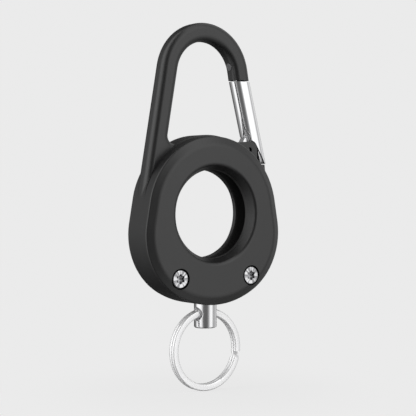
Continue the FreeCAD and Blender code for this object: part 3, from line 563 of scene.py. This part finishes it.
screw_angles = [2 * math.pi * step / screw_steps for step in range(screw_steps)]
screw_profiles = [screw_profile(angle) for angle in screw_angles]
screw_points = []
for row in zip(*screw_profiles):
    for angle, (radius, depth) in zip(screw_angles, row):
        screw_points.append((radius * math.cos(angle), head_top + depth, radius * math.sin(angle)))
last_row = len(screw_points) - screw_steps
screw_points += [(0, head_top + socket_depth + dimple_depth, 0), (0, head_top + shank_end, 0)]
screw_faces = []
for low in range(0, last_row, screw_steps):
    high = low + screw_steps
    for step in range(screw_steps):
        after = (step + 1) % screw_steps
        screw_faces.append((low + step, high + step, high + after, low + after))
for step in range(screw_steps):
    after = (step + 1) % screw_steps
    screw_faces.append((len(screw_points) - 2, step, after))
    screw_faces.append((len(screw_points) - 1, last_row + after, last_row + step))
screw_tree, screw_inputs = plated_shape("screws_in_cover", {
    "Count": "NodeSocketInt",
    "First place": "NodeSocketVector",
    "Apart": "NodeSocketVector",
    "Plating": "NodeSocketMaterial",
})
add_node(screw_tree, "places", "GeometryNodeMeshLine")
add_node(screw_tree, "driven", "GeometryNodeInstanceOnPoints")
join(screw_tree, (
    ("given", "Count", "places", "Count"),
    ("given", "First place", "places", "Start Location"),
    ("given", "Apart", "places", "Offset"),
    ("places", "Mesh", "driven", "Points"),
    ("given", "Geometry", "driven", "Instance"),
    ("driven", "Instances", "real", "Geometry"),
))
machine_screws = shape_piece("machine_screws", screw_points, [], screw_faces, screw_tree, {
    screw_inputs["Count"]: 2,
    screw_inputs["First place"]: (-screw_aside, 0, -screw_down),
    screw_inputs["Apart"]: (2 * screw_aside, 0, 0),
    screw_inputs["Plating"]: rayed_plating("screw_plating"),
})
shade_smooth(machine_screws, crease=28)
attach(machine_screws, "holder")
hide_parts("cover_screws")

# Stage: a painted floor under the ring. It keeps the object's shadow close round it and runs out into
# the even pale background, and it is left out of reflections.
floor_size = 6
floor_grey = 0.8
bounce_grey = 0.7
background_grey = 0.83
shadow_from = 0.008
shadow_to = 0.06
shadow_fill = 0.88
bpy.ops.mesh.primitive_plane_add(size=floor_size, location=(0, 0, cad_box[0].z))
floor = bpy.context.object
floor.name = "floor"
floor.visible_glossy = False
floor_paint, floor_tree = bare_material("floor_paint")
add_node(floor_tree, "place", "ShaderNodeTexCoord")
add_node(floor_tree, "reach", "ShaderNodeVectorMath", operation="LENGTH")
add_node(floor_tree, "fade", "ShaderNodeMapRange", {
    "From Min": shadow_from,
    "From Max": shadow_to,
    "To Min": shadow_fill,
}, interpolation_type="SMOOTHSTEP")
add_node(floor_tree, "path", "ShaderNodeLightPath")
add_node(floor_tree, "paint", "ShaderNodeBsdfDiffuse", {"Color": grey(floor_grey)})
add_node(floor_tree, "pale", "ShaderNodeEmission", {"Color": grey(background_grey)})
add_node(floor_tree, "run_out", "ShaderNodeMixShader")
add_node(floor_tree, "bounce", "ShaderNodeBsdfDiffuse", {"Color": grey(bounce_grey)})
add_node(floor_tree, "seen", "ShaderNodeMixShader")
add_node(floor_tree, "surface", "ShaderNodeOutputMaterial")
join(floor_tree, (
    ("place", "Object", "reach", 0),
    ("reach", "Value", "fade", "Value"),
    ("fade", "Result", "run_out", "Fac"),
    ("paint", "BSDF", "run_out", 1),
    ("pale", "Emission", "run_out", 2),
    ("path", "Is Camera Ray", "seen", "Fac"),
    ("bounce", "BSDF", "seen", 1),
    ("run_out", "Shader", "seen", 2),
    ("seen", "Shader", "surface", "Surface"),
))
floor.data.materials.append(floor_paint)

# Light: an even grey room with a soft box at the front right and one at the left. Gloss and metal mirror
# the room's walls: bright at the left and the front right, dimmer at the right, dark behind the camera
# and behind the object, and brighter towards the ceiling.
room_grey = 0.58
left_wall_light = 1.25
wall_light = (
    (-70, 0.95), (-62, 0.45), (-54, 0.2), (-44, 0.14), (-25, 0.13), (-14, 0.16), (-5, 0.27), (4, 0.55),
    (12, 0.9), (22, 1.18), (33, 1.15), (43, 0.84), (54, 0.43), (67, 0.42), (85, 0.65), (111, 0.55),
    (125, 0.3), (138, 0.1), (165, 0.06), (190, 0.12), (210, 0.22), (220, 0.5), (230, 0.95), (240, 1.2),
)
floor_light = 0.35
ceiling_light = 1.35
height_light = ((-0.75, 0.4), (-0.5, 0.75), (-0.3, 0.95), (-0.12, 1), (0.2, 1.3))
box_distance = 0.6
box_width = 0.5
box_height = 0.6


def fill_ramp(ramp, first, last, stops):
    """Give a ramp its two end levels and the grey stops between them."""
    for stop, level in zip(ramp.elements, (first, last)):
        stop.color = grey(level)
    for position, level in stops:
        stop = ramp.elements.new(position)
        stop.color = grey(level)


def direction(azimuth, elevation):
    """Unit vector from the window's middle, in degrees: to the right of the front, and up."""
    aside = math.radians(azimuth)
    rise = math.radians(elevation)
    return Vector((math.sin(aside) * math.cos(rise), -math.cos(aside) * math.cos(rise), math.sin(rise)))


def face_case(thing, back):
    """Turn a lamp or the camera, which stands in the direction back, to look the opposite way."""
    thing.rotation_mode = "QUATERNION"
    thing.rotation_quaternion = (-back).to_track_quat("-Z", "Y")


def soft_box(name, azimuth, elevation, radiance):
    """A rectangular soft box that faces the case, as bright as the radiance says."""
    lamp = bpy.data.lights.new(name, "AREA")
    lamp.shape = "RECTANGLE"
    lamp.size = box_width
    lamp.size_y = box_height
    lamp.energy = radiance * math.pi * box_width * box_height
    box = bpy.data.objects.new(name, lamp)
    bpy.context.scene.collection.objects.link(box)
    back = direction(azimuth, elevation)
    box.location = back * box_distance
    face_case(box, back)
    box.visible_glossy = False


room = bpy.data.worlds.new("room")
bpy.context.scene.world = room
room.use_nodes = True
room_tree = room.node_tree
room_tree.nodes.clear()
add_node(room_tree, "way", "ShaderNodeTexCoord")
add_node(room_tree, "compass", "ShaderNodeTexGradient", gradient_type="RADIAL")
walls = add_node(room_tree, "walls", "ShaderNodeValToRGB")
add_node(room_tree, "split", "ShaderNodeSeparateXYZ")
add_node(room_tree, "height", "ShaderNodeMapRange", {"From Min": -1})
heights = add_node(room_tree, "heights", "ShaderNodeValToRGB")
add_node(room_tree, "panels", "ShaderNodeMix", {"Factor": 1}, data_type="RGBA", blend_type="MULTIPLY")
add_node(room_tree, "path", "ShaderNodeLightPath")
add_node(room_tree, "mirrored", "ShaderNodeMix", {"A": grey(room_grey)}, data_type="RGBA")
add_node(room_tree, "seen", "ShaderNodeMix", {"B": grey(background_grey)}, data_type="RGBA")
add_node(room_tree, "air", "ShaderNodeBackground")
add_node(room_tree, "surface", "ShaderNodeOutputWorld")
fill_ramp(walls.color_ramp, left_wall_light, left_wall_light, [
    ((azimuth + 90) / 360, level) for azimuth, level in wall_light])
fill_ramp(heights.color_ramp, floor_light, ceiling_light, [
    ((height + 1) / 2, level) for height, level in height_light])
join(room_tree, (
    ("way", "Generated", "compass", "Vector"),
    ("way", "Generated", "split", "Vector"),
    ("compass", "Fac", "walls", "Fac"),
    ("split", "Z", "height", "Value"),
    ("height", "Result", "heights", "Fac"),
    ("walls", "Color", "panels", "A"),
    ("heights", "Color", "panels", "B"),
    ("path", "Is Glossy Ray", "mirrored", "Factor"),
    ("panels", "Result", "mirrored", "B"),
    ("path", "Is Camera Ray", "seen", "Factor"),
    ("mirrored", "Result", "seen", "A"),
    ("seen", "Result", "air", "Color"),
    ("air", "Background", "surface", "Surface"),
))
soft_box("front_right", azimuth=42, elevation=15, radiance=1.2)
soft_box("left", azimuth=-105, elevation=5, radiance=4.6)

# Camera at the photograph's angle, from the left of the front and a little above the window, with the
# window a little left of and below the middle of the picture.
view_azimuth = -35.42
view_elevation = 1.136
view_distance = 0.3461
view_right = 0.000802
view_up = 0.001701
lens = bpy.data.cameras.new("camera")
lens.lens = 101.47
lens.sensor_width = 36
lens.clip_start = 0.01
camera = bpy.data.objects.new("camera", lens)
bpy.context.scene.collection.objects.link(camera)
bpy.context.scene.camera = camera
back = direction(view_azimuth, view_elevation)
right = (-back).cross(Vector((0, 0, 1))).normalized()
up = right.cross(-back)
camera.location = back * view_distance + right * view_right + up * view_up
face_case(camera, back)

bpy.context.scene.view_settings.view_transform = "Standard"
